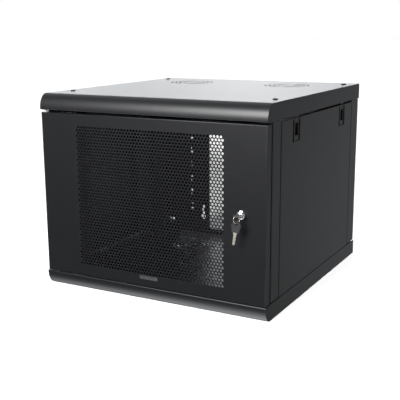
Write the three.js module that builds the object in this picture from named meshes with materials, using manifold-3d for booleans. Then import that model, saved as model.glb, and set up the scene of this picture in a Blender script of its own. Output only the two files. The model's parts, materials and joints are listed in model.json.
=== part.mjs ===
// Wall-mount 19-inch network cabinet, nine rack units high. Lengths are in millimetres.
// X runs to the right as seen from the door, Y towards the wall and Z up. Every shape is
// drawn with y = 0 at the front of the two noses; the group at the end moves the origin
// to the middle of the footprint, on the surface that the cabinet stands on.

import * as THREE from "three";
import { mergeVertices } from "three/addons/utils/BufferGeometryUtils.js";
import Module from "manifold-3d";

const wasm = await Module();
wasm.setup();

// ---- Driving dimensions ----

const WIDTH = 600;
const DEPTH = 622;
const HEIGHT = 482;
const SHEET = 1.2; // covers, door and panels
const FRAME_SHEET = 1.5; // posts, rails and their supports
const GAP = 0.3; // between pieces that touch
const HALF = WIDTH / 2;
const REAR = DEPTH - 6; // rear face of the posts: the covers overhang it

// Covers: a rounded nose in front, flanges down both sides and a low one at the rear.
const NOSE_DEPTH = 26;
const NOSE_HEIGHT = 35;
const LIP = 38.2; // the nose's inward lip, from the outer face
const LIP_REACH = 24;
const COVER_FLANGE = 39.8;
const BASE_FLANGE = 38.4;
const REAR_FLANGE = 15;
const VENT_X = 145;
const VENT_Y = 479;
const VENT_RINGS = [22, 34, 46, 58];
const VENT_SLOT = 4.6;
const ENTRY = { halfWidth: 80, front: 477, rear: 518 }; // cable entry in the base
const FRAME_SCREWS = { x: 274, depths: { front: 98, rear: 563 } };

// Posts and side panels.
const POST = { bottom: 41.5, top: 441.7, inner: 263, seat: 286.75 };
const TONGUE = { reach: 28, lap: 11, outer: 1.6 };
const PANEL = { front: 76, rear: 557.5, bottom: 39.4, top: 438, fold: 12 };

// Rack: square holes in groups of three per rack unit.
const UNITS = 9;
const UNIT = 44.45;
const HOLE_SPACING = 15.875;
const RACK_MIDDLE = 241; // height of the middle of the nine units
const HOLE = 9.5;
const HOLE_X = 232.5;
const RAIL = { inner: 225.2, outer: 262, bottom: 22, top: 460, fold: 40 };
const RAIL_DEPTHS = { front: 95, rear: 455 };
const RAIL_TRAVEL = 120;
const BOLT = { shank: 2.9, hole: 3.3, head: 5, inset: 8 };

// Door: a shallow pan with its lock on the right and its hinge pins on the left.
const DOOR = { half: 298.7, front: 2.2, back: 24, bottom: 38.7, top: 437.5 };
const HINGE = { x: -289.5, y: 12, radius: 2.5, hole: 2.9 };
const LOCK = { x: 239, z: 241, flange: 10, barrel: 8.7, plug: 6, rear: 30 };

// Side panel latches.
const LATCH_DEPTHS = { front: 139, rear: 455.5 };
const LATCH = { length: 44, bottom: 384, top: 434, bolt: 450 };

// ---- Finishes ----

const finish = (color, roughness, metalness) =>
  new THREE.MeshStandardMaterial({ color, roughness, metalness });
const POWDER = finish(0x2f3032, 0.5, 0.1);
const CHROME = finish(0xd8d8d8, 0.15, 1);
const ZINC = finish(0xb4b6b8, 0.35, 0.9);
const BLACK_STEEL = finish(0x1c1c1e, 0.4, 0.6);
const NYLON = finish(0x242426, 0.6, 0);
const NICKEL = finish(0xc9c3b6, 0.3, 0.9);

// ---- Shapes ----

const rounded = (value) => Math.round(value * 1e4) / 1e4;

function box([x0, x1], [y0, y1], [z0, z1]) {
  const size = [x1 - x0, y1 - y0, z1 - z0].map(Math.abs);
  const middle = [x0 + x1, y0 + y1, z0 + z1].map((sum) => sum / 2);
  return new THREE.BoxGeometry(...size).translate(...middle);
}

function circle(x, y, radius, sides = 16) {
  return Array.from({ length: sides }, (_, i) => {
    const angle = (2 * Math.PI * (i + 0.5)) / sides;
    return [x + radius * Math.cos(angle), y + radius * Math.sin(angle)];
  });
}

function rectangle([a0, a1], [b0, b1]) {
  return [[a0, b0], [a1, b0], [a1, b1], [a0, b1]];
}

function extrude(outline, length, holes) {
  const straight = (points, depth) => {
    const shape = new THREE.Shape(points.map(([a, b]) => new THREE.Vector2(a, b)));
    return new THREE.ExtrudeGeometry(shape, { depth, bevelEnabled: false });
  };
  const tools = holes.map((hole) => straight(hole, length + 2).translate(0, 0, -1));
  return tools.length ? cut(straight(outline, length), ...tools) : straight(outline, length);
}

// Prisms along each axis: outlines are in (y, z), (x, z) and (x, y).
function prismX(outline, x0, x1, holes = []) {
  const turn = new THREE.Matrix4().makeBasis(
    new THREE.Vector3(0, 1, 0),
    new THREE.Vector3(0, 0, 1),
    new THREE.Vector3(1, 0, 0),
  );
  const from = Math.min(x0, x1);
  return extrude(outline, Math.abs(x1 - x0), holes).applyMatrix4(turn).translate(from, 0, 0);
}

function prismY(outline, y0, y1, holes = []) {
  const turn = new THREE.Matrix4().makeBasis(
    new THREE.Vector3(1, 0, 0),
    new THREE.Vector3(0, 0, 1),
    new THREE.Vector3(0, -1, 0),
  );
  const to = Math.max(y0, y1);
  return extrude(outline, Math.abs(y1 - y0), holes).applyMatrix4(turn).translate(0, to, 0);
}

function prismZ(outline, z0, z1, holes = []) {
  return extrude(outline, Math.abs(z1 - z0), holes).translate(0, 0, Math.min(z0, z1));
}

// The section of a sheet bent along a centre line.
function bentSheet(path, thickness) {
  const half = thickness / 2;
  const normals = path.slice(1).map(([x, y], i) => {
    const run = [x - path[i][0], y - path[i][1]];
    const length = Math.hypot(...run);
    return [-run[1] / length, run[0] / length];
  });
  const side = (sign) =>
    path.map(([x, y], i) => {
      const before = normals[Math.max(i - 1, 0)];
      const after = normals[Math.min(i, normals.length - 1)];
      const scale = (sign * half) / (1 + before[0] * after[0] + before[1] * after[1]);
      return [
        rounded(x + (before[0] + after[0]) * scale),
        rounded(y + (before[1] + after[1]) * scale),
      ];
    });
  return [...side(1), ...side(-1).reverse()];
}

// A slot that follows a ring, between two angles in degrees.
function arcSlot(x, y, radius, width, from, to, steps = 3) {
  const arc = (r) =>
    Array.from({ length: steps + 1 }, (_, i) => {
      const angle = THREE.MathUtils.degToRad(from + ((to - from) * i) / steps);
      return [x + r * Math.cos(angle), y + r * Math.sin(angle)];
    });
  return [...arc(radius + width / 2), ...arc(radius - width / 2).reverse()];
}

// Coil spring along Z.
function spring(x, y, z0, z1, radius, wire, turns) {
  class Helix extends THREE.Curve {
    getPoint(t, target = new THREE.Vector3()) {
      const angle = 2 * Math.PI * turns * t;
      const z = z0 + wire + (z1 - z0 - 2 * wire) * t;
      return target.set(x + radius * Math.cos(angle), y + radius * Math.sin(angle), z);
    }
  }
  const points = circle(0, 0, wire, 5).map(([a, b]) => new THREE.Vector2(a, b));
  return new THREE.ExtrudeGeometry(new THREE.Shape(points), {
    steps: Math.round(turns * 8),
    extrudePath: new Helix(),
    bevelEnabled: false,
  });
}

// ---- Joining and cutting ----

function solid(geometry) {
  const bare = geometry.clone();
  bare.deleteAttribute("normal");
  bare.deleteAttribute("uv");
  bare.attributes.position.array = bare.attributes.position.array.map(rounded);
  const merged = mergeVertices(bare, 1e-4);
  const mesh = new wasm.Mesh({
    numProp: 3,
    vertProperties: new Float32Array(merged.attributes.position.array),
    triVerts: new Uint32Array(merged.index.array),
  });
  return new wasm.Manifold(mesh);
}

function surface(made) {
  const mesh = made.getMesh();
  const geometry = new THREE.BufferGeometry();
  geometry.setAttribute("position", new THREE.BufferAttribute(mesh.vertProperties, 3));
  geometry.setIndex(new THREE.BufferAttribute(mesh.triVerts, 1));
  return geometry;
}

const join = (first, ...rest) =>
  surface(rest.reduce((sum, next) => sum.add(solid(next)), solid(first)));
const cut = (first, ...tools) =>
  surface(tools.reduce((left, tool) => left.subtract(solid(tool)), solid(first)));

// ---- The assembly ----

const cabinet = new THREE.Group();
cabinet.position.y = -DEPTH / 2;

function add(name, geometry, material) {
  const mesh = new THREE.Mesh(geometry, material);
  mesh.name = name;
  cabinet.add(mesh);
}

const SIDES = { left: -1, right: 1 };

// ---- Top cover and base pan ----

function ventSlots(centreX) {
  return VENT_RINGS.flatMap((radius) =>
    [0, 90, 180, 270].map((start) => {
      const bridge = THREE.MathUtils.radToDeg(5 / radius);
      return arcSlot(centreX, VENT_Y, radius, VENT_SLOT, start + bridge, start + 90 - bridge);
    }),
  );
}

// Nose centre line in (depth, distance in from the outer face), from the flat skin to the lip.
function nosePath(steps = 8) {
  const arc = Array.from({ length: steps + 1 }, (_, i) => {
    const angle = ((Math.PI / 2) * i) / steps;
    return [
      NOSE_DEPTH - (NOSE_DEPTH - SHEET / 2) * Math.sin(angle),
      NOSE_HEIGHT - (NOSE_HEIGHT - SHEET / 2) * Math.cos(angle),
    ];
  });
  const lipMiddle = LIP - SHEET / 2;
  return [[NOSE_DEPTH + 4, SHEET / 2], ...arc, [2.4, lipMiddle], [LIP_REACH, lipMiddle]];
}

// Outline of a side flange, which closes the end of the nose.
function flangeOutline(flange, steps = 8) {
  const arc = Array.from({ length: steps + 1 }, (_, i) => {
    const angle = ((Math.PI / 2) * i) / steps;
    return [NOSE_DEPTH * (1 - Math.sin(angle)), NOSE_HEIGHT * (1 - Math.cos(angle))];
  });
  return [...arc, [1.8, LIP], [6, LIP], [8, flange], [DEPTH, flange], [DEPTH, 0]];
}

// level(h) is the height of a point that lies h in from the cover's outer face.
function cover(level, flange, extraHoles) {
  const raise = (points) => points.map(([y, h]) => [y, rounded(level(h))]);
  const skinHoles = [...ventSlots(-VENT_X), ...ventSlots(VENT_X), ...extraHoles];
  const skinOutline = rectangle([-HALF, HALF], [NOSE_DEPTH + 2, DEPTH]);
  const skin = prismZ(skinOutline, rounded(level(0)), rounded(level(SHEET)), skinHoles);
  const nose = prismX(raise(bentSheet(nosePath(), SHEET)), -HALF + 0.5, HALF - 0.5);
  const sideHole = circle(17, level(LIP - 3.5), 1.8, 8);
  const sideFlanges = Object.values(SIDES).map((side) =>
    prismX(raise(flangeOutline(flange)), side * HALF, side * (HALF - SHEET), [sideHole]),
  );
  const rearFlange = box([-HALF, HALF], [DEPTH - SHEET, DEPTH], [level(0), level(REAR_FLANGE)]);
  return join(skin, nose, ...sideFlanges, rearFlange);
}

const screwHoles = Object.values(SIDES).flatMap((side) =>
  Object.values(FRAME_SCREWS.depths).map((y) => circle(side * FRAME_SCREWS.x, y, BOLT.hole, 12)),
);
const fromTop = (h) => HEIGHT - h;
const fromBottom = (h) => h;

const upperLip = fromTop(LIP);
const bushHole = prismZ(circle(HINGE.x, HINGE.y, 4.8), upperLip - 1, upperLip + 3);
add("top_cover", cut(cover(fromTop, COVER_FLANGE, screwHoles), bushHole), POWDER);

const lowerLip = fromBottom(LIP);
const pinHole = prismZ(circle(HINGE.x, HINGE.y, HINGE.hole), lowerLip - 3, lowerLip + 1);
const entry = rectangle([-ENTRY.halfWidth, ENTRY.halfWidth], [ENTRY.front, ENTRY.rear]);
add("base_pan", cut(cover(fromBottom, BASE_FLANGE, [entry]), pinHole), POWDER);

function frameScrew(x, y) {
  const shank = prismZ(circle(x, y, BOLT.shank, 12), HEIGHT - 11, HEIGHT + 1);
  const head = prismZ(circle(x, y, 6.5, 16), HEIGHT + GAP, HEIGHT + 2.6);
  return join(head, shank);
}
for (const [sideName, side] of Object.entries(SIDES))
  for (const [depthName, y] of Object.entries(FRAME_SCREWS.depths))
    add(`cover_screw_${depthName}_${sideName}`, frameScrew(side * FRAME_SCREWS.x, y), BLACK_STEEL);

// ---- Corner posts ----

// A tongue at each end of a post goes inside the side flange of the cover or the base.
function tongues(side, y0, y1) {
  const outer = side * (HALF - TONGUE.outer);
  const inner = side * (HALF - TONGUE.outer - FRAME_SHEET);
  return [
    [POST.top - TONGUE.lap, POST.top, POST.top + TONGUE.reach],
    [POST.bottom + TONGUE.lap, POST.bottom, POST.bottom - TONGUE.reach],
  ].flatMap(([start, end, tip]) => [
    box([side * HALF, inner], [y0, y1], [start, end]),
    box([outer, inner], [y0, y1], [start, tip]),
  ]);
}

function post(side, path, tongueDepths) {
  const section = bentSheet(path.map(([x, y]) => [side * x, y]), FRAME_SHEET);
  return join(prismZ(section, POST.bottom, POST.top), ...tongues(side, ...tongueDepths));
}

const face = HALF - FRAME_SHEET / 2;
const frontFace = 29 + FRAME_SHEET / 2;
const frontSeat = 71.25;
const rearFace = REAR - FRAME_SHEET / 2;
const rearSeat = 560.75;
const FRONT_POST = [
  [POST.inner, frontFace],
  [face, frontFace],
  [face, frontSeat],
  [POST.seat, frontSeat],
  [POST.seat, frontSeat + 15],
];
const REAR_POST = [
  [POST.inner + 1, rearFace],
  [face, rearFace],
  [face, rearSeat],
  [POST.seat, rearSeat],
  [POST.seat, rearSeat - 15],
];
for (const [name, side] of Object.entries(SIDES)) {
  add(`front_post_${name}`, post(side, FRONT_POST, [34, 68]), POWDER);
  add(`rear_post_${name}`, post(side, REAR_POST, [566, 604]), POWDER);
}

// ---- Rear panel: open in the middle for cables, with keyholes for the wall screws ----

const REAR_OPENING = { halfWidth: 160, top: 345 };
const KEYHOLE = { x: 182, slot: 4, round: 8, length: 44, bottoms: [46, 386] };
// Tie holes run up both sides of the opening, in pairs where two rack units meet.
const TIE_HOLE = { x: 222, radius: 3.2 };

function keyhole(x, bottom) {
  const centre = bottom + KEYHOLE.round;
  const top = bottom + KEYHOLE.length;
  const entering = Math.acos(KEYHOLE.slot / KEYHOLE.round);
  const arc = Array.from({ length: 9 }, (_, i) => {
    const angle = Math.PI - entering + ((Math.PI + 2 * entering) * i) / 8;
    return [x + KEYHOLE.round * Math.cos(angle), centre + KEYHOLE.round * Math.sin(angle)];
  });
  return [...arc, [x + KEYHOLE.slot, top], [x - KEYHOLE.slot, top]];
}

const rearPanelHalf = 284;
const rearPanelBottom = REAR_FLANGE + 1.5;
const rearPanelTop = HEIGHT - REAR_FLANGE - 2;
const rearPanelOutline = [
  [-rearPanelHalf, rearPanelBottom],
  [-REAR_OPENING.halfWidth, rearPanelBottom],
  [-REAR_OPENING.halfWidth, REAR_OPENING.top],
  [REAR_OPENING.halfWidth, REAR_OPENING.top],
  [REAR_OPENING.halfWidth, rearPanelBottom],
  [rearPanelHalf, rearPanelBottom],
  [rearPanelHalf, rearPanelTop],
  [-rearPanelHalf, rearPanelTop],
];
const rearPanelBack = REAR - FRAME_SHEET - GAP;
const keyholes = Object.values(SIDES).flatMap((side) =>
  KEYHOLE.bottoms.map((bottom) => keyhole(side * KEYHOLE.x, bottom)),
);
const unitEnds = Array.from(
  { length: UNITS - 1 },
  (_, i) => RACK_MIDDLE + (i + 1 - UNITS / 2) * UNIT,
).filter((z) => z < REAR_OPENING.top);
const tieHoles = Object.values(SIDES).flatMap((side) =>
  unitEnds.flatMap((end) =>
    [-1, 1].map((step) => {
      const z = end + step * (UNIT / 2 - HOLE_SPACING);
      return circle(side * TIE_HOLE.x, z, TIE_HOLE.radius, 8);
    }),
  ),
);
add(
  "rear_panel",
  prismY(rearPanelOutline, rearPanelBack - SHEET, rearPanelBack, [...keyholes, ...tieHoles]),
  POWDER,
);

// ---- Rail supports: channels along both sides, under the cover and over the base ----

const SUPPORT = { front: 33, rear: 606, web: POST.inner + 0.05, outer: 296.6, clear: 0.4 };

function support(side, level, flange, withScrewHoles) {
  const outerFlange = level(SHEET + SUPPORT.clear + FRAME_SHEET / 2);
  const innerFlange = level(flange - FRAME_SHEET / 2);
  const path = [
    [side * SUPPORT.outer, outerFlange],
    [side * SUPPORT.web, outerFlange],
    [side * SUPPORT.web, innerFlange],
    [side * SUPPORT.outer, innerFlange],
  ];
  const channel = prismY(bentSheet(path, FRAME_SHEET), SUPPORT.front, SUPPORT.rear);
  const boltLevel = level(HEIGHT - RAIL.top + BOLT.inset);
  const slots = [
    RAIL_DEPTHS.front + RAIL.fold / 2,
    RAIL_DEPTHS.rear - RAIL.fold / 2 - RAIL_TRAVEL,
  ].map((start) =>
    box(
      [side * (SUPPORT.web - 2), side * (SUPPORT.web + 2)],
      [start - 4, start + RAIL_TRAVEL + 4],
      [boltLevel - 3.5, boltLevel + 3.5],
    ),
  );
  const holes = Object.values(FRAME_SCREWS.depths).map((y) =>
    prismZ(circle(side * FRAME_SCREWS.x, y, BOLT.hole, 12), outerFlange - 2, outerFlange + 2),
  );
  return cut(channel, ...slots, ...(withScrewHoles ? holes : []));
}
for (const [name, side] of Object.entries(SIDES)) {
  add(`upper_rail_support_${name}`, support(side, fromTop, BASE_FLANGE, true), POWDER);
  add(`lower_rail_support_${name}`, support(side, fromBottom, BASE_FLANGE, false), POWDER);
}

// ---- 19-inch rails ----

function rackHoles(side) {
  const first = RACK_MIDDLE - (UNITS * UNIT) / 2;
  const holes = [];
  for (let unit = 0; unit < UNITS; unit++)
    for (const row of [-1, 0, 1]) {
      const z = first + (unit + 0.5) * UNIT + row * HOLE_SPACING;
      const x = side * HOLE_X;
      holes.push(rectangle([x - HOLE / 2, x + HOLE / 2], [z - HOLE / 2, z + HOLE / 2]));
    }
  return holes;
}

// turn is 1 when the side flange runs back from the drilled face, and -1 when it runs forward.
function rail(side, y, turn) {
  const outline = rectangle([side * RAIL.inner, side * RAIL.outer], [RAIL.bottom, RAIL.top]);
  const drilledFace = prismY(outline, y, y + turn * FRAME_SHEET, rackHoles(side));
  const boltHoles = [RAIL.bottom + BOLT.inset, RAIL.top - BOLT.inset].map((z) =>
    circle(y + (turn * RAIL.fold) / 2, z, BOLT.hole, 8),
  );
  const flange = prismX(
    rectangle([y, y + turn * RAIL.fold], [RAIL.bottom, RAIL.top]),
    side * (RAIL.outer - FRAME_SHEET),
    side * RAIL.outer,
    boltHoles,
  );
  return join(drilledFace, flange);
}

function railBolt(side, y, z) {
  const inner = RAIL.outer - FRAME_SHEET - GAP;
  const nut = SUPPORT.web + FRAME_SHEET / 2 + GAP;
  return join(
    prismX(circle(y, z, BOLT.head, 12), side * (inner - 3.5), side * inner),
    prismX(circle(y, z, BOLT.shank, 8), side * (inner - 1), side * (nut + 2)),
    prismX(circle(y, z, BOLT.head, 6), side * nut, side * (nut + 4.5)),
  );
}

for (const [depthName, y] of Object.entries(RAIL_DEPTHS))
  for (const [sideName, side] of Object.entries(SIDES)) {
    const turn = depthName === "front" ? 1 : -1;
    const boltY = y + (turn * RAIL.fold) / 2;
    const name = `${depthName}_rail_${sideName}`;
    add(name, rail(side, y, turn), POWDER);
    add(`${name}_lower_bolt`, railBolt(side, boltY, RAIL.bottom + BOLT.inset), ZINC);
    add(`${name}_upper_bolt`, railBolt(side, boltY, RAIL.top - BOLT.inset), ZINC);
  }

// ---- Side panels with two latches each ----

// The bolt's notch runs through the panel's top fold, over the latch.
const BOLT_NOTCH = { from: 21, to: 36 };

function sidePanel(side) {
  const cutouts = Object.values(LATCH_DEPTHS).map((y) =>
    rectangle([y, y + LATCH.length], [LATCH.bottom, LATCH.top]),
  );
  const outline = rectangle([PANEL.front, PANEL.rear], [PANEL.bottom, PANEL.top]);
  const skin = prismX(outline, side * (HALF - SHEET), side * HALF, cutouts);
  const across = [side * (HALF - PANEL.fold), side * (HALF - 0.2)];
  const depths = [PANEL.front, PANEL.rear];
  const heights = [PANEL.bottom, PANEL.top];
  const folds = [
    box(across, [PANEL.front, PANEL.front + SHEET], heights),
    box(across, [PANEL.rear - SHEET, PANEL.rear], heights),
    box(across, depths, [PANEL.bottom, PANEL.bottom + SHEET]),
    box(across, depths, [PANEL.top - SHEET, PANEL.top]),
  ];
  const notches = Object.values(LATCH_DEPTHS).map((y) =>
    box(
      [side * (HALF - 6), side * (HALF + 1)],
      [y + BOLT_NOTCH.from, y + BOLT_NOTCH.to],
      [PANEL.top - 1.8, PANEL.top + 1],
    ),
  );
  return cut(join(skin, ...folds), ...notches);
}

const HOUSING = { inner: 284, outer: HALF - SHEET - GAP, wall: 1.7, bottom: 366, top: 436.4 };
const SLIDER = { inner: 297, outer: 298.3 };

function latchHousing(side, y) {
  const across = [side * HOUSING.inner, side * HOUSING.outer];
  const open = [side * (HOUSING.inner + HOUSING.wall), side * HALF];
  const body = box(across, [y - 3, y + 47], [HOUSING.bottom, HOUSING.top]);
  const hollow = box(open, [y - 1, y + 45.5], [HOUSING.bottom + 2, HOUSING.top - 2]);
  const mouth = box(
    [side * 293.5, side * HALF],
    [y + BOLT_NOTCH.from - 1, y + BOLT_NOTCH.to + 1],
    [HOUSING.top - 3, HOUSING.top + 1],
  );
  const rib = box(
    [side * (HOUSING.inner + 1), side * (SLIDER.inner - GAP)],
    [y + 13, y + 15.5],
    [HOUSING.bottom + 1, HOUSING.top - 1],
  );
  return join(cut(body, hollow, mouth), rib);
}

function latchSlider(side, y) {
  const across = [side * SLIDER.inner, side * SLIDER.outer];
  const fingerHole = rectangle([y + 17, y + 36], [397, 425]);
  const plateOutline = rectangle([y + 11.8, y + 45.2], [LATCH.bottom + 0.5, LATCH.top - 0.5]);
  return join(
    prismX(plateOutline, ...across, [fingerHole]),
    box(across, [y + 21.5, y + 35.5], [LATCH.top - 1, LATCH.bolt]),
    box(
      [side * 287, side * (SLIDER.outer - 0.2)],
      [y + 21.5, y + 35.5],
      [LATCH.bottom + 0.5, LATCH.bottom + 2],
    ),
  );
}

function latchSpring(side, y) {
  const floor = HOUSING.bottom + 2 + GAP;
  const roof = LATCH.bottom + 0.5 - GAP;
  return spring(side * 291.5, y + 28.5, floor, roof, 3.6, 0.6, 4.5);
}

for (const [sideName, side] of Object.entries(SIDES)) {
  add(`side_panel_${sideName}`, sidePanel(side), POWDER);
  for (const [depthName, y] of Object.entries(LATCH_DEPTHS)) {
    const name = `${depthName}_latch`;
    add(`${name}_housing_${sideName}`, latchHousing(side, y), NYLON);
    add(`${name}_slider_${sideName}`, latchSlider(side, y), POWDER);
    add(`${name}_spring_${sideName}`, latchSpring(side, y), ZINC);
  }
}

// ---- Door ----

function doorPan() {
  const outline = rectangle([-DOOR.half, DOOR.half], [DOOR.bottom, DOOR.top]);
  const lockHole = circle(LOCK.x, LOCK.z, 9.2, 20);
  const skin = prismY(outline, DOOR.front, DOOR.front + SHEET, [lockHole]);
  const across = [-DOOR.half, DOOR.half];
  const deep = [DOOR.front + 0.2, DOOR.back];
  const folds = [
    box(across, deep, [DOOR.bottom, DOOR.bottom + SHEET]),
    box(across, deep, [DOOR.top - SHEET, DOOR.top]),
    box([-DOOR.half, -DOOR.half + SHEET], deep, [DOOR.bottom, DOOR.top]),
    box([DOOR.half - SHEET, DOOR.half], deep, [DOOR.bottom, DOOR.top]),
  ];
  const pinHoles = [DOOR.bottom, DOOR.top].map((z) =>
    prismZ(circle(HINGE.x, HINGE.y, 3.2), z - 3, z + 3),
  );
  return cut(join(skin, ...folds), ...pinHoles);
}
add("door_panel", doorPan(), POWDER);

const behindDoor = DOOR.front + SHEET + GAP;
const stiffenerBack = 20;
function stiffener(x0, x1, z0, z1) {
  const path = [[x0, behindDoor], [x0, stiffenerBack], [x1, stiffenerBack], [x1, behindDoor]];
  return prismZ(bentSheet(path, SHEET), z0, z1);
}
add("door_stiffener_hinge_side", stiffener(-284, -256, 60, 372), POWDER);
add("door_stiffener_lock_side", stiffener(260, 290, 60, 417), POWDER);

add(
  "door_badge_plate",
  box([-24.5, 24.5], [DOOR.front - GAP - 0.9, DOOR.front - GAP], [57, 65]),
  BLACK_STEEL,
);

// Hinge brackets inside the door, with the two pins that they turn on.
function hingeBracket(z, tabTo) {
  const plate = box([-DOOR.half + SHEET + 0.5, -262], [behindDoor, 21], [z, z + 2]);
  const tab = box([-284, -262], [behindDoor, behindDoor + 1.5], [z + 1, tabTo]);
  return cut(join(plate, tab), prismZ(circle(HINGE.x, HINGE.y, HINGE.hole), z - 1, z + 3));
}
const UPPER_BRACKET = 404;
const LOWER_BRACKET = 44;
add("upper_hinge_bracket", hingeBracket(UPPER_BRACKET, 430), ZINC);
add("lower_hinge_bracket", hingeBracket(LOWER_BRACKET, 58), ZINC);

const COLLAR = 426;
const PIN_TIP = 449;
const PIN_FOOT = 392;
const upperPin = join(
  prismZ(circle(HINGE.x, HINGE.y, HINGE.radius), PIN_FOOT, PIN_TIP),
  prismZ(circle(HINGE.x, HINGE.y, 4.2), COLLAR, COLLAR + 2.5),
  box([HINGE.x, -272], [HINGE.y - 1.5, HINGE.y + 1.5], [PIN_FOOT, PIN_FOOT + 3]),
);
add("upper_hinge_pin", upperPin, ZINC);
add(
  "upper_hinge_spring",
  spring(HINGE.x, HINGE.y, UPPER_BRACKET + 2 + GAP, COLLAR - GAP, 3.5, 0.5, 5),
  ZINC,
);
const bush = join(
  prismZ(circle(HINGE.x, HINGE.y, 6.5), upperLip - GAP - 1.2, upperLip - GAP),
  prismZ(circle(HINGE.x, HINGE.y, 4.4), upperLip - GAP - 1.2, upperLip + 3),
);
add(
  "upper_hinge_bush",
  cut(bush, prismZ(circle(HINGE.x, HINGE.y, HINGE.hole), upperLip - 4, upperLip + 5)),
  NYLON,
);
const lowerPin = join(
  prismZ(circle(HINGE.x, HINGE.y, 5.5), lowerLip - SHEET - GAP - 2.5, lowerLip - SHEET - GAP),
  prismZ(circle(HINGE.x, HINGE.y, HINGE.radius), lowerLip - SHEET - GAP - 1, 52),
);
add("lower_hinge_pin", lowerPin, ZINC);

// ---- Lock: the axis runs along Y ----

const lockDisc = (radius, y0, y1, sides = 20, holes = []) =>
  prismY(circle(LOCK.x, LOCK.z, radius, sides), y0, y1, holes);
const lockFront = -1.8;
const plugBore = circle(LOCK.x, LOCK.z, LOCK.plug + 0.4, 20);
const lockBody = join(
  lockDisc(LOCK.flange, lockFront, DOOR.front - GAP, 20, [plugBore]),
  lockDisc(LOCK.barrel, DOOR.front - GAP - 0.5, LOCK.rear, 20, [plugBore]),
);
add("lock_body", lockBody, CHROME);
add(
  "lock_nut",
  lockDisc(14, behindDoor, behindDoor + 3.5, 6, [circle(LOCK.x, LOCK.z, 9.2, 20)]),
  ZINC,
);

const KEYWAY = { halfWidth: 4.4, halfHeight: 1.4, end: 22 };
const camFront = 31;
const camBack = 33;
const square = (half) =>
  rectangle([LOCK.x - half, LOCK.x + half], [LOCK.z - half, LOCK.z + half]);
const plug = cut(
  join(lockDisc(LOCK.plug, lockFront, LOCK.rear), prismY(square(2.7), LOCK.rear - 1, camBack + 1)),
  prismY(
    rectangle(
      [LOCK.x - KEYWAY.halfWidth, LOCK.x + KEYWAY.halfWidth],
      [LOCK.z - KEYWAY.halfHeight, LOCK.z + KEYWAY.halfHeight],
    ),
    lockFront - 1,
    KEYWAY.end,
  ),
);
add("lock_plug", plug, CHROME);

const CAM = { half: 8, reach: 33 };
const camOutline = [
  ...circle(LOCK.x, LOCK.z, CAM.half, 16).filter(([x]) => x < LOCK.x),
  [LOCK.x + CAM.reach - 4, LOCK.z - CAM.half],
  [LOCK.x + CAM.reach, LOCK.z - CAM.half + 4],
  [LOCK.x + CAM.reach, LOCK.z + CAM.half - 4],
  [LOCK.x + CAM.reach - 4, LOCK.z + CAM.half],
];
add("lock_cam", prismY(camOutline, camFront, camBack, [square(3.1)]), ZINC);
add("lock_cam_screw", lockDisc(5, camBack + 1 + GAP, camBack + 4, 12), ZINC);

// ---- Keys ----
// Both have a round bow with an off-centre hole for the ring, and a flat blade.

const BOW = { radius: 11, half: 1.3, hole: 3.6 };
const BLADE = { half: 4, halfThickness: 1, tip: 2 };

function bladeOutline(x, from, to) {
  const tip = to + Math.sign(from - to) * 4;
  return [
    [x - BLADE.half, from],
    [x + BLADE.half, from],
    [x + BLADE.half, tip],
    [x + BLADE.tip, to],
    [x - BLADE.tip, to],
    [x - BLADE.half, tip],
  ];
}

const bowCentre = -13;
const bowHole = [LOCK.x + 4, -18];
const key = join(
  prismZ(
    circle(LOCK.x, bowCentre, BOW.radius, 20),
    LOCK.z - BOW.half,
    LOCK.z + BOW.half,
    [circle(...bowHole, BOW.hole, 12)],
  ),
  prismZ(
    bladeOutline(LOCK.x, bowCentre + 9, 20),
    LOCK.z - BLADE.halfThickness,
    LOCK.z + BLADE.halfThickness,
  ),
);
add("key", key, NYLON);

// The ring passes through the bow's hole and round its edge, in an upright plane turned
// about Z, and the spare key hangs at its lowest point.
const RING = { radius: 7.7, wire: 0.7, turn: THREE.MathUtils.degToRad(35), reach: 5.4, drop: 5 };
const ringCentre = [
  bowHole[0] - RING.reach * Math.sin(RING.turn),
  bowHole[1] - RING.reach * Math.cos(RING.turn),
  LOCK.z - RING.drop,
];
const ring = new THREE.TorusGeometry(RING.radius, RING.wire, 6, 24)
  .rotateX(Math.PI / 2)
  .rotateZ(-Math.PI / 2 - RING.turn)
  .translate(...ringCentre);
add("key_ring", ring, NICKEL);

const SPARE = { hang: 1.5, bowDrop: 5, bowEnd: 20, tip: 48.3, yaw: 6, tilt: 8 };
const spare = join(
  prismY(
    [
      ...circle(0, -SPARE.bowDrop, BOW.radius, 20).filter(([, z]) => z > -SPARE.bowDrop - 4),
      [-8.5, -SPARE.bowEnd],
      [8.5, -SPARE.bowEnd],
    ].sort((a, b) => Math.atan2(a[1] + 9, a[0]) - Math.atan2(b[1] + 9, b[0])),
    -BOW.half,
    BOW.half,
    [circle(0, 0, BOW.hole, 12)],
  ),
  prismY(bladeOutline(0, -SPARE.bowEnd + 2, -SPARE.tip), -BLADE.halfThickness, BLADE.halfThickness),
);
spare
  .rotateY(THREE.MathUtils.degToRad(SPARE.tilt))
  .rotateZ(THREE.MathUtils.degToRad(SPARE.yaw))
  .translate(ringCentre[0], ringCentre[1], ringCentre[2] - RING.radius - SPARE.hang);
add("spare_key", spare, NYLON);

export default cabinet;
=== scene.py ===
# The looks of a wall-mount 19-inch network cabinet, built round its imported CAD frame.
# Lengths are in metres, with +Z up and the door facing -Y. Places come from the frame's
# own boxes; sizes that only the finish needs are named below.

import json
import math

import bmesh
import bpy
from mathutils import Matrix, Vector

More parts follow.
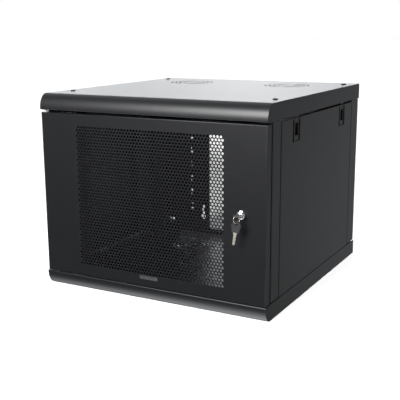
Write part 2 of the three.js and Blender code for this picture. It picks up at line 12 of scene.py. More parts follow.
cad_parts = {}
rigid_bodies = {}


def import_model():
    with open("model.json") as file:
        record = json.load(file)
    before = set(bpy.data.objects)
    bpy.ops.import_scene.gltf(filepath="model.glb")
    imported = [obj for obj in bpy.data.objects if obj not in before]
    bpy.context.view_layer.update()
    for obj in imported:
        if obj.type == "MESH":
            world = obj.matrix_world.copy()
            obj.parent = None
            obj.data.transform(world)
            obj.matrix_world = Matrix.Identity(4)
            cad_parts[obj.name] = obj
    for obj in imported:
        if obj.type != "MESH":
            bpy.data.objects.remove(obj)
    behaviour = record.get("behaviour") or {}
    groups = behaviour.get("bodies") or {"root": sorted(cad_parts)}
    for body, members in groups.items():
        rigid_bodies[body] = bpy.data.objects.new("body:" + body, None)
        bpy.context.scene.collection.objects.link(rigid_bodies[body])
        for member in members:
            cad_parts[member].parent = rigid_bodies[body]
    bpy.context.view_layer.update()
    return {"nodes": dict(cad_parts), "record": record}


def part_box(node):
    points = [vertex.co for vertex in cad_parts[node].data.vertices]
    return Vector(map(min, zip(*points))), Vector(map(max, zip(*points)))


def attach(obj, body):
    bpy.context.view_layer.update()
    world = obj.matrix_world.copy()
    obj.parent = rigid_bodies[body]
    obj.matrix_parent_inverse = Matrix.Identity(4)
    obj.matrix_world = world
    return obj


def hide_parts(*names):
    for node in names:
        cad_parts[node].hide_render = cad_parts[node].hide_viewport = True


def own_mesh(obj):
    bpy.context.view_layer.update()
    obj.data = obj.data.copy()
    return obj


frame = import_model()

MM = 0.001
SHEET = 1.2 * MM
FOLD_RADIUS = 1.6 * MM
EDGE_RADIUS = 0.3 * MM
NEAR = 0.02 * MM
SIDES = {"left": -1, "right": 1}
DEPTHS = ("front", "rear")


# ---- Materials ----

# Nearly all of a noise texture's values lie between these two.
NOISE_LOW = 0.3
NOISE_HIGH = 0.7


def new_material(name):
    material = bpy.data.materials.new(name)
    material.use_nodes = True
    nodes = material.node_tree.nodes
    return material, nodes, material.node_tree.links, nodes["Principled BSDF"]


def noise(nodes, links, scale, detail=2):
    """A noise texture in the object's own space, in features per metre."""
    space = nodes.new("ShaderNodeTexCoord")
    texture = nodes.new("ShaderNodeTexNoise")
    texture.inputs["Scale"].default_value = scale
    texture.inputs["Detail"].default_value = detail
    links.new(space.outputs["Object"], texture.inputs["Vector"])
    return texture.outputs["Fac"]


def remap(nodes, links, value, low, high):
    """Turns a noise into numbers between two limits."""
    ramp = nodes.new("ShaderNodeMapRange")
    ramp.inputs["From Min"].default_value = NOISE_LOW
    ramp.inputs["From Max"].default_value = NOISE_HIGH
    ramp.inputs["To Min"].default_value = low
    ramp.inputs["To Max"].default_value = high
    links.new(value, ramp.inputs["Value"])
    return ramp.outputs["Result"]


def blend_colours(nodes, links, value, low, high):
    """Turns a noise into colours between two tones."""
    ramp = nodes.new("ShaderNodeValToRGB")
    ramp.color_ramp.elements[0].position = NOISE_LOW
    ramp.color_ramp.elements[1].position = NOISE_HIGH
    ramp.color_ramp.elements[0].color = (*low, 1)
    ramp.color_ramp.elements[1].color = (*high, 1)
    links.new(value, ramp.inputs["Fac"])
    return ramp.outputs["Color"]


def shades(tone, spread):
    """A darker and a lighter shade of a tone."""
    return [tuple(channel * share for channel in tone) for share in (1 - spread, 1 + spread)]


def bump(nodes, links, value, strength, distance, normal=None):
    node = nodes.new("ShaderNodeBump")
    node.inputs["Strength"].default_value = strength
    node.inputs["Distance"].default_value = distance
    links.new(value, node.inputs["Height"])
    if normal:
        links.new(normal, node.inputs["Normal"])
    return node.outputs["Normal"]


def powder_coat(name, tone, roughness):
    """Fine-textured powder coat: orange peel over a finer grain, with uneven gloss."""
    material, nodes, links, shader = new_material(name)
    peel = noise(nodes, links, scale=520)
    grain = noise(nodes, links, scale=2600)
    cloud = noise(nodes, links, scale=14, detail=3)
    colour = blend_colours(nodes, links, cloud, *shades(tone, 0.08))
    gloss = remap(nodes, links, grain, roughness - 0.04, roughness + 0.06)
    relief = bump(nodes, links, peel, strength=0.22, distance=0.15 * MM)
    relief = bump(nodes, links, grain, strength=0.18, distance=0.05 * MM, normal=relief)
    links.new(colour, shader.inputs["Base Color"])
    links.new(gloss, shader.inputs["Roughness"])
    links.new(relief, shader.inputs["Normal"])
    return material


def plated(name, low, high, roughness, grain_scale=1400):
    """Plated metal: faint mottling and a slightly uneven gloss."""
    material, nodes, links, shader = new_material(name)
    grain = noise(nodes, links, scale=grain_scale, detail=3)
    cloud = noise(nodes, links, scale=160)
    colour = blend_colours(nodes, links, cloud, low, high)
    gloss = remap(nodes, links, grain, roughness * 0.8, roughness * 1.3)
    relief = bump(nodes, links, grain, strength=0.08, distance=0.05 * MM)
    links.new(colour, shader.inputs["Base Color"])
    links.new(gloss, shader.inputs["Roughness"])
    links.new(relief, shader.inputs["Normal"])
    shader.inputs["Metallic"].default_value = 1.0
    return material


def moulded(name, tone, roughness):
    """Moulded plastic with a fine spark-eroded texture."""
    material, nodes, links, shader = new_material(name)
    grain = noise(nodes, links, scale=3200)
    cloud = noise(nodes, links, scale=60)
    colour = blend_colours(nodes, links, cloud, *shades(tone, 0.15))
    gloss = remap(nodes, links, grain, roughness - 0.06, roughness + 0.08)
    relief = bump(nodes, links, grain, strength=0.2, distance=0.06 * MM)
    links.new(colour, shader.inputs["Base Color"])
    links.new(gloss, shader.inputs["Roughness"])
    links.new(relief, shader.inputs["Normal"])
    return material


POWDER = powder_coat("black_powder_coat", (0.0042, 0.0045, 0.0058), roughness=0.37)
BLACKENED = plated("blackened_steel", (0.02, 0.02, 0.021), (0.035, 0.035, 0.036), roughness=0.4)
BADGE = plated("satin_badge", (0.15, 0.155, 0.165), (0.21, 0.215, 0.225), roughness=0.45)
CHROME = plated(
    "chrome_plate", (0.78, 0.78, 0.79), (0.86, 0.86, 0.86), roughness=0.07, grain_scale=900
)
ZINC = plated("zinc_plate", (0.46, 0.47, 0.49), (0.62, 0.62, 0.62), roughness=0.3)
NICKEL = plated("nickel_plate", (0.66, 0.6, 0.53), (0.78, 0.72, 0.64), roughness=0.42)
NYLON = moulded("black_nylon", (0.02, 0.02, 0.021), roughness=0.5)
KEY_PLASTIC = moulded("key_bow_plastic", (0.026, 0.026, 0.028), roughness=0.32)

BODY_OF = {
    node: body
    for body, members in frame["record"]["behaviour"]["bodies"].items()
    for node in members
}


# ---- Finished pieces ----


def keep_flats(piece):
    """Shades broad flat faces flat, and leaves the rounding to the small faces round them."""
    modifier = piece.modifiers.new("flat_faces", "WEIGHTED_NORMAL")
    modifier.mode = "FACE_AREA"
    modifier.weight = 90
    modifier.keep_sharp = True


def sharpen_broad_faces(piece, area):
    """Marks the edges of faces larger than an area sharp, except where the sheet runs on flat."""
    shape = bmesh.new()
    shape.from_mesh(piece.data)
    for face in shape.faces:
        if face.calc_area() > area:
            for edge in face.edges:
                if edge.calc_face_angle(0) > math.radians(1):
                    edge.smooth = False
    shape.to_mesh(piece.data)
    shape.free()


def place(piece, node, material, stands_for=True):
    """Gives a finished piece its material, and makes it ride where its CAD node rides."""
    piece.data.materials.clear()
    piece.data.materials.append(material)
    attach(piece, BODY_OF[node])
    if node != "door_panel":
        keep_flats(piece)
    if material in (CHROME, NICKEL):
        # Small bright parts throw no stray sparkles on the black coat round them.
        piece.visible_diffuse = False
        piece.visible_glossy = False
    if stands_for:
        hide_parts(node)
    return piece


def object_from(name, shape, smooth_angle=32):
    """A scene object from a bmesh, smooth except across edges sharper than an angle."""
    bmesh.ops.recalc_face_normals(shape, faces=shape.faces)
    mesh = bpy.data.meshes.new(name)
    shape.to_mesh(mesh)
    shape.free()
    for polygon in mesh.polygons:
        polygon.use_smooth = True
    mesh.set_sharp_from_angle(angle=math.radians(smooth_angle))
    made = bpy.data.objects.new(name, mesh)
    bpy.context.scene.collection.objects.link(made)
    return made


def middle_of(node):
    low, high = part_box(node)
    return (low + high) / 2


# ---- Outlines: closed or open rows of (a, b) points ----


def circle(a, b, radius, sides=32):
    return [
        (
            a + radius * math.cos(2 * math.pi * i / sides),
            b + radius * math.sin(2 * math.pi * i / sides),
        )
        for i in range(sides)
    ]


def rounded_rectangle(low_a, high_a, low_b, high_b, radius, steps=5):
    corners = ((high_a, high_b), (low_a, high_b), (low_a, low_b), (high_a, low_b))
    outline = []
    for quarter, (a, b) in enumerate(corners):
        centre_a = a - radius if a == high_a else a + radius
        centre_b = b - radius if b == high_b else b + radius
        for i in range(steps + 1):
            angle = math.pi / 2 * (quarter + i / steps)
            outline.append((centre_a + radius * math.cos(angle), centre_b + radius * math.sin(angle)))
    return outline


def filleted(path, radius, steps=4):
    """An open path whose inner corners are arcs."""
    made = [Vector(path[0])]
    for before, corner, after in zip(path, path[1:], path[2:]):
        corner = Vector(corner)
        arriving = (Vector(before) - corner).normalized()
        leaving = (Vector(after) - corner).normalized()
        half = arriving.angle(leaving) / 2
        reach = radius / math.tan(half)
        centre = corner + (arriving + leaving).normalized() * (radius / math.sin(half))
        start = corner + arriving * reach - centre
        end = corner + leaving * reach - centre
        turn = start.angle_signed(end)
        for i in range(steps + 1):
            angle = -turn * i / steps
            a = start.x * math.cos(angle) - start.y * math.sin(angle)
            b = start.x * math.sin(angle) + start.y * math.cos(angle)
            made.append(centre + Vector((a, b)))
    made.append(Vector(path[-1]))
    return made


def bent_sheet(path, thickness):
    """The closed section of a sheet bent along a centre line."""
    points = [Vector(p) for p in path]
    normals = []
    for a, b in zip(points, points[1:]):
        run = (b - a).normalized()
        normals.append(Vector((-run.y, run.x)))

    def side(sign):
        made = []
        for i, point in enumerate(points):
            before = normals[max(i - 1, 0)]
            after = normals[min(i, len(normals) - 1)]
            made.append(point + (before + after) * (sign * thickness / 2 / (1 + before.dot(after))))
        return made

    return [tuple(p) for p in side(1) + side(-1)[::-1]]


# ---- Shapes ----


def ring_on(shape, outline, axis, level):
    """Vertices along an outline at a level on an axis; a and b are the other two, in order."""
    ring = []
    for a, b in outline:
        point = [a, b]
        point.insert(axis, level)
        ring.append(shape.verts.new(point))
    return ring


def bridge(shape, first, second):
    """A band of four-sided faces between two rings of vertices."""
    for i in range(len(first)):
        j = (i + 1) % len(first)
        shape.faces.new((first[i], first[j], second[j], second[i]))


def box_shape(low, high):
    shape = bmesh.new()
    bmesh.ops.create_cube(shape, size=1)
    for vertex in shape.verts:
        for axis in range(3):
            middle = (low[axis] + high[axis]) / 2
            vertex.co[axis] = middle + vertex.co[axis] * (high[axis] - low[axis])
    return shape


def prism(outline, axis, start, end):
    """A closed outline pushed along an axis."""
    shape = bmesh.new()
    first = ring_on(shape, outline, axis, start)
    last = ring_on(shape, outline, axis, end)
    shape.faces.new(first)
    shape.faces.new(last)
    bridge(shape, first, last)
    bmesh.ops.recalc_face_normals(shape, faces=shape.faces)
    return shape


def lathe(profile, centre, axis, sides=40):
    """A closed (radius, level) profile turned round an axis through a point."""
    shape = bmesh.new()
    rings = []
    for i in range(sides):
        angle = 2 * math.pi * i / sides
        ring = []
        for radius, level in profile:
            a = centre[0] + radius * math.cos(angle)
            b = centre[1] + radius * math.sin(angle)
            ring += ring_on(shape, [(a, b)], axis, level)
        rings.append(ring)
    for ring, following in zip(rings, rings[1:] + rings[:1]):
        bridge(shape, ring, following)
    bmesh.ops.remove_doubles(shape, verts=shape.verts, dist=1e-7)
    bmesh.ops.dissolve_degenerate(shape, dist=1e-7, edges=shape.edges)
    bmesh.ops.recalc_face_normals(shape, faces=shape.faces)
    return shape


def tube(points, radius, sides=10, closed=False):
    """A round tube along points, with flat ends unless it is closed on itself."""
    shape = bmesh.new()
    count = len(points)
    normal = None
    rings = []
    for i, point in enumerate(points):
        before = points[i - 1] if closed or i else point
        after = points[(i + 1) % count] if closed or i < count - 1 else point
        run = (after - before).normalized()
        if normal is None:
            normal = run.orthogonal().normalized()
        normal = (normal - run * normal.dot(run)).normalized()
        across = run.cross(normal)
        section = circle(0, 0, radius, sides)
        rings.append([shape.verts.new(point + normal * a + across * b) for a, b in section])
    following = rings[1:] + rings[:1] if closed else rings[1:]
    for first, second in zip(rings, following):
        bridge(shape, first, second)
    if not closed:
        shape.faces.new(rings[0])
        shape.faces.new(rings[-1])
    return shape


def combine(name, first, others, operation):
    """Joins or cuts closed shapes exactly, and gives back the bmesh of the result."""
    target = object_from(name, first)
    tools = bpy.data.collections.new(name + "_tools")
    bpy.context.scene.collection.children.link(tools)
    for i, shape in enumerate(others):
        tool = object_from(f"{name}_tool_{i}", shape)
        bpy.context.scene.collection.objects.unlink(tool)
        tools.objects.link(tool)
    modifier = target.modifiers.new("combine", "BOOLEAN")
    modifier.operation = operation
    modifier.operand_type = "COLLECTION"
    modifier.collection = tools
    modifier.solver = "EXACT"
    evaluated = target.evaluated_get(bpy.context.evaluated_depsgraph_get())
    result = bmesh.new()
    result.from_mesh(evaluated.to_mesh())
    for tool in list(tools.objects):
        bpy.data.objects.remove(tool)
    bpy.data.collections.remove(tools)
    bpy.data.objects.remove(target)
    bmesh.ops.remove_doubles(result, verts=result.verts, dist=1e-7)
    return result


def join(name, *shapes):
    return combine(name, shapes[0], shapes[1:], "UNION")


def cut(name, shape, *tools):
    return combine(name, shape, tools, "DIFFERENCE")


FLAT_ANGLE = math.radians(0.4)
CORNER_ANGLE = math.radians(38)


def soften(shape, width=EDGE_RADIUS, segments=2, chosen=None):
    """Rounds the sharp edges of a shape, or only the chosen ones."""
    bmesh.ops.dissolve_limit(shape, angle_limit=FLAT_ANGLE, verts=shape.verts, edges=shape.edges)
    edges = [
        edge
        for edge in shape.edges
        if edge.is_manifold
        and edge.calc_face_angle(0) > CORNER_ANGLE
        and (chosen is None or chosen(edge))
    ]
    bmesh.ops.bevel(
        shape,
        geom=edges,
        offset=width,
        segments=segments,
        profile=0.5,
        affect="EDGES",
        clamp_overlap=True,
    )
    return shape


def refined(node, name, material, width=EDGE_RADIUS):
    """A CAD node's own shape with its edges rounded."""
    shape = bmesh.new()
    shape.from_mesh(frame["nodes"][node].data)
    bmesh.ops.remove_doubles(shape, verts=shape.verts, dist=1e-6)
    place(object_from(name, soften(shape, width)), node, material)


# ---- Top cover and base: one rounded shell, drawn twice ----

NOSE_DEPTH = 26 * MM
NOSE_HEIGHT = 35 * MM
NOSE_STEPS = 20
LIP_INSET = 38.2 * MM
LIP_REACH = 24 * MM
LIP_RADIUS = 2 * MM
REAR_FLANGE = 15 * MM
SKIN_INSET = 0.1 * MM

# An end flange's edge between nose and flange: distances behind the front and below the face.
END_TURN = ((0.4 * MM, LIP_INSET - 1.2 * MM), (1.6 * MM, LIP_INSET), (6 * MM, LIP_INSET))
END_FLANGE_START = 8 * MM
END_ROUNDING = 1.1 * MM
END_HOLE_INSET = 17 * MM
END_HOLE_DROP = LIP_INSET - 3.5 * MM
END_HOLE_RADIUS = 1.8 * MM

VENT_RING_RADII = (22 * MM, 34 * MM, 46 * MM, 58 * MM)
VENT_SLOT = 3.9 * MM
VENT_X = 145 * MM
VENT_INSET = 143 * MM
VENT_SPOKE = 5 * MM
SCREW_HOLE_RADIUS = 3.3 * MM
BUSH_HOLE_RADIUS = 4.8 * MM
PIN_HOLE_RADIUS = 2.9 * MM
ENTRY_HALF = 80 * MM
ENTRY_INSETS = (104 * MM, 145 * MM)
ENTRY_RADIUS = 3 * MM


def arc_slot(x, y, radius, width, start, end, steps=7):
    """The outline of a slot that follows a circle from one angle to another."""

    def arc(reach):
        angles = [start + (end - start) * i / steps for i in range(steps + 1)]
        return [(x + reach * math.cos(angle), y + reach * math.sin(angle)) for angle in angles]

    return arc(radius + width / 2) + arc(radius - width / 2)[::-1]


def vent_tools(x, y, low, high):
    """The slots of one fan vent: four rings, each broken by four spokes."""
    tools = []
    for radius in VENT_RING_RADII:
        spoke = VENT_SPOKE / radius
        for quarter in range(4):
            start = math.pi / 2 * quarter
            slot = arc_slot(x, y, radius, VENT_SLOT, start + spoke, start + math.pi / 2 - spoke)
            tools.append(prism(slot, 2, low, high))
    return tools


def cover_shell(node, name, up):
    """A skin with a rounded nose, a lip under it and a rear flange, between two end flanges.
    up is 1 for the top cover and -1 for the base, the same shell the other way up."""
    low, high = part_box(node)
    face, edge = (high.z, low.z) if up > 0 else (low.z, high.z)
    half, front, rear = high.x, low.y, high.y

    def level(drop):
        return face - up * drop

    def nose(inset):
        """The rounded front from the face to the lip, at an inset from the outside."""
        points = []
        for i in range(NOSE_STEPS + 1):
            angle = math.pi / 2 * i / NOSE_STEPS
            y = front + NOSE_DEPTH - (NOSE_DEPTH - inset) * math.sin(angle)
            points.append((y, level(NOSE_HEIGHT - (NOSE_HEIGHT - inset) * math.cos(angle))))
        return points

    middle = SHEET / 2
    arc = nose(middle)
    lip = level(LIP_INSET - middle)
    rear_fold = [(rear - middle, level(REAR_FLANGE)), (rear - middle, level(middle)), arc[0]]
    lip_fold = [arc[-1], (front + middle, lip), (front + LIP_REACH, lip)]
    path = filleted(rear_fold, FOLD_RADIUS)[:-1] + [Vector(p) for p in arc[:-1]]
    path += filleted(lip_fold, LIP_RADIUS)
    skin = prism(bent_sheet(path, SHEET), 0, -half + SKIN_INSET, half - SKIN_INSET)

    outline = nose(0) + [(front + inset, level(drop)) for inset, drop in END_TURN]
    outline += [(front + END_FLANGE_START, edge), (rear, edge), (rear, face)]
    ends = [prism(outline, 0, side * half, side * (half - SHEET)) for side in SIDES.values()]
    shape = join(name, skin, *ends)

    through_skin = sorted((level(-MM), level(4 * MM)))
    through_lip = sorted((lip - 3 * MM, lip + 3 * MM))
    tools = []
    for side in SIDES.values():
        tools += vent_tools(side * VENT_X, rear - VENT_INSET, *through_skin)
        hole = circle(front + END_HOLE_INSET, level(END_HOLE_DROP), END_HOLE_RADIUS, 16)
        tools.append(prism(hole, 0, side * (half - 2 * MM), side * (half + MM)))
    if up > 0:
        for side_name in SIDES:
            for depth in DEPTHS:
                screw = middle_of(f"cover_screw_{depth}_{side_name}")
                hole = circle(screw.x, screw.y, SCREW_HOLE_RADIUS, 20)
                tools.append(prism(hole, 2, *through_skin))
        hinge = middle_of("upper_hinge_bush")
        hinge_radius = BUSH_HOLE_RADIUS
    else:
        entry_ends = [rear - inset for inset in ENTRY_INSETS]
        entry = rounded_rectangle(
            -ENTRY_HALF, ENTRY_HALF, min(entry_ends), max(entry_ends), ENTRY_RADIUS
        )
        tools.append(prism(entry, 2, *through_skin))
        hinge = middle_of("lower_hinge_pin")
        hinge_radius = PIN_HOLE_RADIUS
    tools.append(prism(circle(hinge.x, hinge.y, hinge_radius, 20), 2, *through_lip))
    shape = cut(name, shape, *tools)

    def turns_down(seam):
        """Whether the shell's skin turns down into an end flange along this edge."""
        ends = [vertex.co for vertex in seam.verts]
        if not all(abs(abs(co.x) - half) < NEAR for co in ends):
            return False
        return all(abs(co.z - face) < NEAR or co.y < front + NOSE_DEPTH for co in ends)

    soften(shape, END_ROUNDING, 3, chosen=turns_down)
    place(object_from(name, shape), node, POWDER)


# ---- Side panels: a sheet with all four edges folded back ----

WINDOW_INSET = 3 * MM
WINDOW_WIDTH = 44 * MM
WINDOW_HEIGHTS = (-0.5 * MM, 49.5 * MM)
WINDOW_RADIUS = 0.8 * MM
NOTCH_SPAN = (21 * MM, 36 * MM)
NOTCH_DEPTH = 1.8 * MM
FLANGE_DEPTH = 6 * MM


def folded_edge(face, back, steps):
    """The section of a pan's folded edge as (inset, level) pairs: from the flat face round the
    fold to the back of the flange, and inside it to the face's other side."""
    inward = 1 if back > face else -1
    inner = FOLD_RADIUS - SHEET

    def fold(radius, start, i):
        angle = math.pi / 2 * i / steps
        inset = start + radius * (1 - math.sin(angle))
        return inset, face + inward * (start + radius * (1 - math.cos(angle)))

    outside = [fold(FOLD_RADIUS, 0, i) for i in range(steps + 1)]
    inside = [fold(inner, SHEET, i) for i in range(steps, -1, -1)]
    return [*outside, (0, back), (SHEET, back), *inside]


def pan(low, high, face, back):
    """A pan that faces along X, between levels in X, in the span of a box in Y and Z."""
    shape = bmesh.new()
    rings = []
    for inset, level in folded_edge(face, back, steps=4):
        y0, y1 = low.y + inset, high.y - inset
        z0, z1 = low.z + inset, high.z - inset
        rings.append(ring_on(shape, ((y0, z0), (y1, z0), (y1, z1), (y0, z1)), 0, level))
    shape.faces.new(rings[0])
    shape.faces.new(rings[-1])
    for first, second in zip(rings, rings[1:]):
        bridge(shape, first, second)
    bmesh.ops.recalc_face_normals(shape, faces=shape.faces)
    return shape


def side_panel(side_name):
    """A side panel, with a window for each latch and a notch over it for the latch's bolt."""
    side = SIDES[side_name]
    node = f"side_panel_{side_name}"
    low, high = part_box(node)
    face, back = (high.x, low.x) if side > 0 else (low.x, high.x)
    x_low, x_high = sorted((face - side * FLANGE_DEPTH, face + side * MM))
    tools = []
    for depth in DEPTHS:
        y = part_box(f"{depth}_latch_housing_{side_name}")[0].y + WINDOW_INSET
        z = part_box(f"{depth}_latch_slider_{side_name}")[0].z
        z_low, z_high = (z + height for height in WINDOW_HEIGHTS)
        window = rounded_rectangle(y, y + WINDOW_WIDTH, z_low, z_high, WINDOW_RADIUS)
        tools.append(prism(window, 0, face - 2 * MM, face + 2 * MM))
        notch_low = (x_low, y + NOTCH_SPAN[0], high.z - NOTCH_DEPTH)
        notch_high = (x_high, y + NOTCH_SPAN[1], high.z + MM)
        tools.append(box_shape(notch_low, notch_high))
    shape = cut(node, pan(low, high, face, back), *tools)
    place(object_from(f"folded_side_panel_{side_name}", shape), node, POWDER)


# ---- Perforated door ----

PITCH = 8.25 * MM
ROW_PITCH = PITCH * math.sin(math.radians(60))
COLUMNS = 48
ROWS = 48
HOLE_RADIUS = 3.1 * MM
HOLE_CHAMFER = 0.34 * MM
HOLE_SIDES = 12
FIELD_MIDDLE = 239 * MM
LOCK_HOLE_RADIUS = 9.2 * MM
LOCK_HOLE_SIDES = 32
BROAD_FACE = 1000 * MM * MM


def hole_field(shape, level, rim_radius):
    """Round holes in staggered rows, drawn cell by cell: each hole sits in a rectangle one pitch
    wide, and alternate rows start half a pitch later. Gives back the cells' corners and the rims."""
    x_start = -COLUMNS * PITCH / 2
    z_start = FIELD_MIDDLE - ROWS * ROW_PITCH / 2
    grid = []
    for j in range(ROWS + 1):
        z = z_start + j * ROW_PITCH
        row = [(x_start + k * PITCH / 2, z) for k in range(2 * COLUMNS + 1)]
        grid.append(ring_on(shape, row, 1, level))
    rims = []
    for j, (below, above) in enumerate(zip(grid, grid[1:])):
        shift = j % 2
        if shift:
            for k in (0, 2 * COLUMNS - 1):
                shape.faces.new((below[k], below[k + 1], above[k + 1], above[k]))
        for i in range(COLUMNS - shift):
            k = 2 * i + shift
            x = x_start + (k + 1) * PITCH / 2
            z = z_start + (j + 0.5) * ROW_PITCH
            rim = ring_on(shape, circle(x, z, rim_radius, HOLE_SIDES), 1, level)
            rims.append(rim)
            cell = (above[k + 2], above[k + 1], above[k], below[k], below[k + 1], below[k + 2])
            for n in range(6):
                a, b, c = (2 * n + 1, (2 * n + 2) % HOLE_SIDES, (2 * n + 3) % HOLE_SIDES)
                shape.faces.new((cell[n], cell[(n + 1) % 6], rim[c], rim[b], rim[a]))
    return grid, rims


def perforated_door():
    """The door pan: two faces with the same holes, joined round the fold and through the holes."""
    node = "door_panel"
    low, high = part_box(node)
    lock = middle_of("lock_plug")
    shape = bmesh.new()

    def loop_at(inset, level):
        """The door's outline at an inset, with a point beside the lock."""
        x0, x1 = low.x + inset, high.x - inset
        z0, z1 = low.z + inset, high.z - inset
        return ring_on(shape, ((x0, z0), (x1, z0), (x1, lock.z), (x1, z1), (x0, z1)), 1, level)

    def sheet_face(inset, level, chamfer):
        """One face of the sheet. Gives back the rims of its holes and its outer loop."""
        grid, rims = hole_field(shape, level, HOLE_RADIUS + chamfer)
        loop = loop_at(inset, level)
        bottom_left, bottom_right, beside_lock, top_right, top_left = loop
        lock_circle = circle(lock.x, lock.z, LOCK_HOLE_RADIUS + chamfer, LOCK_HOLE_SIDES)
        lock_rim = ring_on(shape, lock_circle, 1, level)
        lock_upper = lock_rim[LOCK_HOLE_SIDES // 2 :: -1]
        lock_lower = [lock_rim[0], *lock_rim[: LOCK_HOLE_SIDES // 2 - 1 : -1]]
        left = [row[0] for row in grid]
        right = [row[-1] for row in grid]
        split = min(range(ROWS + 1), key=lambda j: abs(right[j].co.z - lock.z))
        shape.faces.new([bottom_left, *left, top_left])
        shape.faces.new([bottom_left, bottom_right, *grid[0][::-1]])
        shape.faces.new([top_left, *grid[-1], top_right])
        shape.faces.new([top_right, *right[: split - 1 : -1], *lock_upper, beside_lock])
        shape.faces.new([*right[split::-1], bottom_right, beside_lock, *lock_lower])
        return rims + [lock_rim], loop

    section = folded_edge(low.y, high.y, steps=5)
    front_rims, outer_loop = sheet_face(*section[0], HOLE_CHAMFER)
    back_rims, inner_loop = sheet_face(*section[-1], 0)
    loops = [outer_loop]
    loops += [loop_at(inset, level) for inset, level in section[1:-1]]
    loops.append(inner_loop)
    for first, second in zip(loops, loops[1:]):
        bridge(shape, first, second)
    for front_rim, back_rim in zip(front_rims, back_rims):
        outline = [(vertex.co.x, vertex.co.z) for vertex in back_rim]
        throat = ring_on(shape, outline, 1, low.y + HOLE_CHAMFER)
        bridge(shape, front_rim, throat)
        bridge(shape, throat, back_rim)
    piece = object_from("perforated_door_sheet", shape)
    sharpen_broad_faces(piece, BROAD_FACE)
    place(piece, node, POWDER)


# ---- Posts ----

POST_SHEET = 1.5 * MM
POST_FOLD_RADIUS = 1.4 * MM
POST_SEAT_X = 286.75 * MM
POST_SHORT_OF_ENDS = 28 * MM
TONGUE_X = (296.9 * MM, 298.4 * MM)
TONGUE_LAP = 11 * MM

# Lengths along Y: from the step to the side panel's edge, and from a post's face to the two
# edges of its tongues.
STEP_GAP = {"front": 4.75 * MM, "rear": 3.25 * MM}
TONGUE_SPAN = {"front": (5 * MM, 39 * MM), "rear": (12 * MM, 50 * MM)}


def post(depth, side_name):
    """A folded corner post: its face, its outer side and the stepped seat for the side panel,
    with a flat tongue at either end behind the flanges of the cover and the base."""
    node = f"{depth}_post_{side_name}"
    side = SIDES[side_name]
    low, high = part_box(node)
    panel_low, panel_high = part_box(f"side_panel_{side_name}")
    if depth == "front":
        inward, front, end, panel_edge = 1, low.y, high.y, panel_low.y
    else:
        inward, front, end, panel_edge = -1, high.y, low.y, panel_high.y
    face = front + inward * POST_SHEET / 2
    step = panel_edge - inward * STEP_GAP[depth]
    y_low, y_high = sorted(front + inward * reach for reach in TONGUE_SPAN[depth])
    inner = side * min(abs(low.x), abs(high.x))
    outer = side * (max(abs(low.x), abs(high.x)) - POST_SHEET / 2)
    seat = side * POST_SEAT_X
    path = [(inner, face), (outer, face), (outer, step), (seat, step), (seat, end)]
    section = bent_sheet(filleted(path, POST_FOLD_RADIUS), POST_SHEET)
    bottom = low.z + POST_SHORT_OF_ENDS
    top = high.z - POST_SHORT_OF_ENDS
    shapes = [prism(section, 2, bottom, top)]
    x_low, x_high = sorted(side * x for x in TONGUE_X)
    for z_low, z_high in ((top - TONGUE_LAP, high.z), (low.z, bottom + TONGUE_LAP)):
        shapes.append(box_shape((x_low, y_low, z_low), (x_high, y_high, z_high)))
    place(object_from(f"folded_{node}", join(node, *shapes)), node, POWDER)


# ---- Screws and lock ----

# A pan head's dome: share of its radius, and how far below the top in millimetres.
SCREW_DOME = ((0, 0), (0.5, 0.1), (0.8, 0.5), (0.95, 1.1), (1, 1.8))
SCREW_HEAD = 2.3 * MM
SCREW_SHANK_RADIUS = 2.9 * MM
SCREW_TIP_RADIUS = 2.1 * MM
SCREW_TIP = 0.8 * MM
RECESS_REACH = 2.9 * MM
RECESS_HALF_WIDTH = 0.65 * MM
RECESS_DEPTH = 1.5 * MM


def cover_screw(depth, side_name):
    """A pan-head screw with a cross recess."""
    node = f"cover_screw_{depth}_{side_name}"
    low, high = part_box(node)
    centre = middle_of(node)
    radius = (high.x - low.x) / 2
    profile = [(radius * share, high.z - fall * MM) for share, fall in SCREW_DOME]
    profile += [
        (radius, high.z - SCREW_HEAD),
        (SCREW_SHANK_RADIUS, high.z - SCREW_HEAD),
        (SCREW_SHANK_RADIUS, low.z + SCREW_TIP),
        (SCREW_TIP_RADIUS, low.z),
        (0, low.z),
    ]
    recess = []
    for x, y in ((RECESS_REACH, RECESS_HALF_WIDTH), (RECESS_HALF_WIDTH, RECESS_REACH)):
        slot_low = (centre.x - x, centre.y - y, high.z - RECESS_DEPTH)
        slot_high = (centre.x + x, centre.y + y, high.z + MM)
        recess.append(box_shape(slot_low, slot_high))
    shape = cut(node, lathe(profile, (centre.x, centre.y), 2), *recess)
    place(object_from(f"cross_head_{node}", shape), node, BLACKENED)


LOCK_BARREL_RADIUS = 8.7 * MM
LOCK_BORE_RADIUS = 6.4 * MM
LOCK_COLLAR_DEPTH = 3.7 * MM
THREAD_PITCH = 1 * MM
THREAD_DEPTH = 0.35 * MM
PLUG_RADIUS = 6 * MM
PLUG_SQUARE_LENGTH = 4 * MM
PLUG_SQUARE_HALF = 4 * MM
KEYWAY_HALF = (4.4 * MM, 1.4 * MM)
KEYWAY_DEPTH = 23.8 * MM


def threaded(radius, start, end):
    """Lathe profile of a thread, as fine rings between two levels."""
    points = []
    count = int((end - start) / THREAD_PITCH)
    for i in range(count):
        level = start + (end - start) * (i + 0.5) / count
        points += [(radius, level - THREAD_PITCH * 0.4), (radius - THREAD_DEPTH, level)]
    return points


